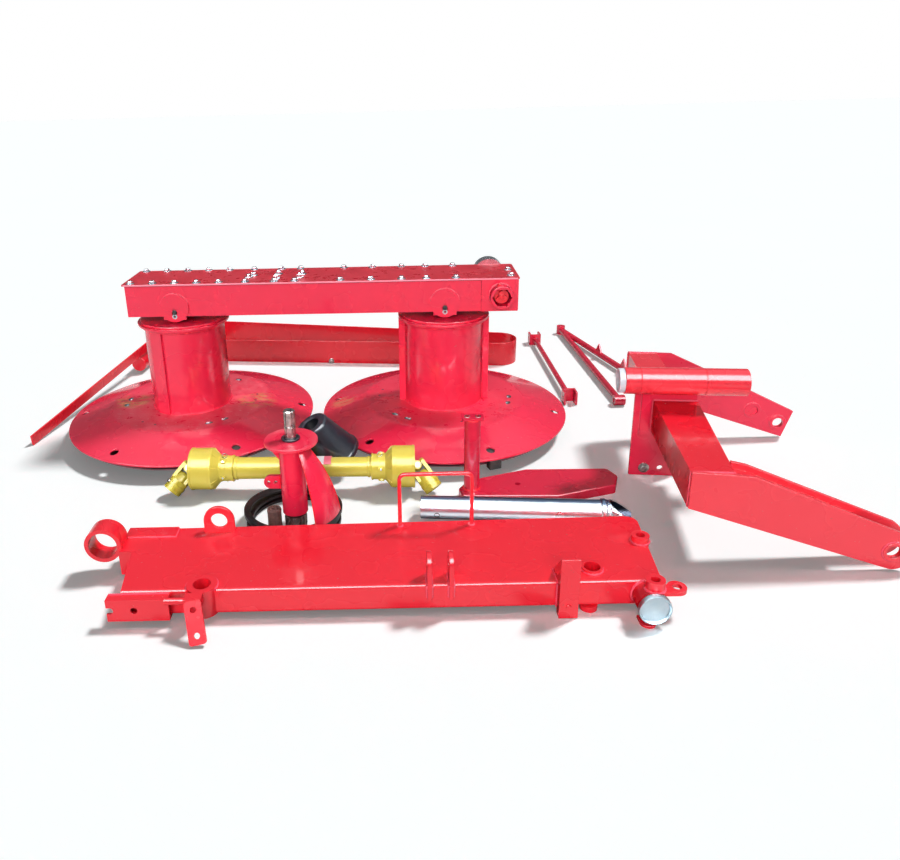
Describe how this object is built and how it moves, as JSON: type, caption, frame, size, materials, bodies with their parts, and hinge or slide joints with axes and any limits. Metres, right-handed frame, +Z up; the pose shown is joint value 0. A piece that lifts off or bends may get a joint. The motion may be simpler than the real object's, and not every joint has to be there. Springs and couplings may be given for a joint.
{
  "type": "two-drum rotary mower, knocked-down kit",
  "caption": "Rear-mounted drum mower laid out as a kit: cutter unit on its skids, carrier beam, hitch headstock, drive shaft, guard hoop and links",
  "frame": {"origin": "middle of the kit's bounding box, on the floor", "axes": "+X along the gear beam to the hitch side, +Y to the guard hoop behind, +Z up"},
  "size_m": [2.2505, 1.9294, 0.497],
  "materials": {
    "red_paint": "glossy red paint over welded steel",
    "dark_steel": "dark primed steel",
    "black_rubber": "matt black rubber",
    "bright_steel": "machined steel, oiled",
    "zinc_plate": "bright zinc plate",
    "yellow_guard": "moulded yellow plastic",
    "yellow_steel": "yellow painted steel",
    "cross_steel": "plain steel",
    "white_nylon": "white nylon",
    "brown_bush": "brown bonded bush"
  },
  "bodies": {
    "kit": {"back_link_plate": "red_paint", "beam_lid": "red_paint", "bearing_head": "red_paint", "bearing_ring": "zinc_plate", "bearing_seal": "black_rubber", "belt_guard": "red_paint", "box_arm": "red_paint", "carrier_beam": "red_paint", "carrier_post": "red_paint", "channel_bracket": "red_paint", "clevis_lug_left": "red_paint", "clevis_lug_right": "red_paint", "foot_plate": "red_paint", "foot_post": "red_paint", "gear_beam": "red_paint", "guard_hoop": "red_paint", "guard_post": "red_paint", "guard_wing": "red_paint", "headstock_plate": "red_paint", "hitch_spar": "red_paint", "hose_loop": "red_paint", "input_gearbox": "red_paint", "link_plate_front": "red_paint", "link_plate_inner": "red_paint", "pivot_cap": "zinc_plate", "pivot_stub": "red_paint", "pto_guard_left": "yellow_guard", "pto_rod_left": "yellow_steel", "ring_lug": "red_paint", "shaft_seal": "black_rubber", "shield_cone": "black_rubber", "spacer_bush": "brown_bush", "spindle_left": "dark_steel", "spindle_right": "dark_steel", "stay_frame": "red_paint", "straight_stay": "red_paint", "strap_bracket": "red_paint", "swivel_bush": "white_nylon", "swivel_tube": "red_paint", "v_belt_1": "black_rubber", "v_belt_2": "black_rubber", "v_belt_3": "black_rubber", "zinc_tube": "zinc_plate"},
    "drum_left": {"drum_left": "red_paint", "disc_left": "red_paint", "knife_holder_left": "dark_steel"},
    "drum_right": {"drum_right": "red_paint", "disc_right": "red_paint", "knife_holder_right": "dark_steel"},
    "skid_left": {"skid_left": "dark_steel"},
    "skid_right": {"skid_right": "dark_steel"},
    "input_shaft": {"input_shaft": "bright_steel", "pinion": "bright_steel"},
    "pto_inner": {"pto_guard_right": "yellow_guard", "pto_rod_right": "yellow_steel"},
    "cross_left": {"pto_cross_left": "cross_steel"},
    "yoke_left": {"pto_yoke_left": "yellow_steel"},
    "cross_right": {"pto_cross_right": "cross_steel"},
    "yoke_right": {"pto_yoke_right": "yellow_steel"}
  },
  "joints": [
    {"name": "drum_left_spin", "type": "hinge", "parent": "kit", "child": "drum_left", "pos_m": [-0.6556, 0.0633, 0.2], "axis": [0, 0, 1], "continuous": true},
    {"name": "drum_right_spin", "type": "hinge", "parent": "kit", "child": "drum_right", "pos_m": [0.1244, 0.0633, 0.2], "axis": [0, 0, 1], "continuous": true},
    {"name": "skid_left_spin", "type": "hinge", "parent": "kit", "child": "skid_left", "pos_m": [-0.6556, 0.0633, 0.017], "axis": [0, 0, 1], "continuous": true},
    {"name": "skid_right_spin", "type": "hinge", "parent": "kit", "child": "skid_right", "pos_m": [0.1244, 0.0633, 0.017], "axis": [0, 0, 1], "continuous": true},
    {"name": "input_shaft_spin", "type": "hinge", "parent": "kit", "child": "input_shaft", "pos_m": [-0.2626, -0.5267, 0.15], "axis": [0, 0, 1], "continuous": true},
    {"name": "pto_telescope", "type": "slide", "parent": "kit", "child": "pto_inner", "axis": [1, 0, 0], "range_m": [-0.1, 0.008]},
    {"name": "cross_left_bend", "type": "hinge", "parent": "kit", "child": "cross_left", "pos_m": [-0.5606, -0.3567, 0.066], "axis": [0, -0.8307, 0.5567], "range_deg": [-50, 0]},
    {"name": "yoke_left_swing", "type": "hinge", "parent": "cross_left", "child": "yoke_left", "pos_m": [-0.5606, -0.3567, 0.066], "axis": [0.7827, -0.3465, -0.517], "range_deg": [-10, 10]},
    {"name": "cross_right_bend", "type": "hinge", "parent": "pto_inner", "child": "cross_right", "pos_m": [0.0344, -0.3567, 0.066], "axis": [0, 0.8026, -0.5965], "range_deg": [-50, 0]},
    {"name": "yoke_right_swing", "type": "hinge", "parent": "cross_right", "child": "yoke_right", "pos_m": [0.0344, -0.3567, 0.066], "axis": [-0.8101, -0.3497, -0.4705], "range_deg": [-10, 10]}
  ],
  "couplings": [
    {"joint": "drum_left_spin", "follows": "drum_right_spin", "ratio": -1}
  ]
}
